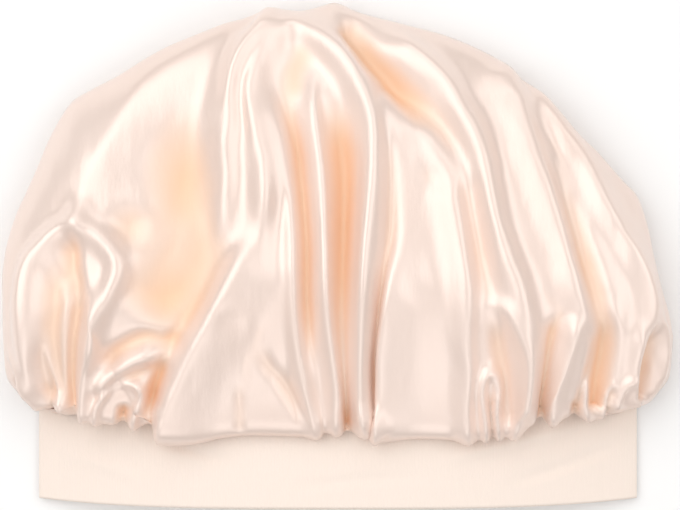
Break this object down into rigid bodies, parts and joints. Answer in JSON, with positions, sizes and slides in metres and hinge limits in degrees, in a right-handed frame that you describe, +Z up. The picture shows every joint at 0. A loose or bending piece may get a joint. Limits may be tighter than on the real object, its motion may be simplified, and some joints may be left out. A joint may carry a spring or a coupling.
{
  "type": "sleep bonnet",
  "caption": "Satin sleep bonnet with a full gathered crown on a wide stretch knit head band, lying flat and folded in half, with its mouth open for the head.",
  "frame": {"origin": "on the table under the centre of the flat bonnet", "axes": "+X to the bonnet's right hand side across the band, +Y from the band's mouth to the top of the crown, +Z up from the table, with the forehead side of the bonnet facing up"},
  "size_m": [0.2973, 0.2236, 0.0459],
  "materials": {
    "satin": "pale blush satin, soft silky gloss along the folds",
    "jersey": "pale blush stretch jersey, matt, fine knit"
  },
  "bodies": {
    "root": {"crown": "satin", "band": "jersey"}
  },
  "joints": []
}
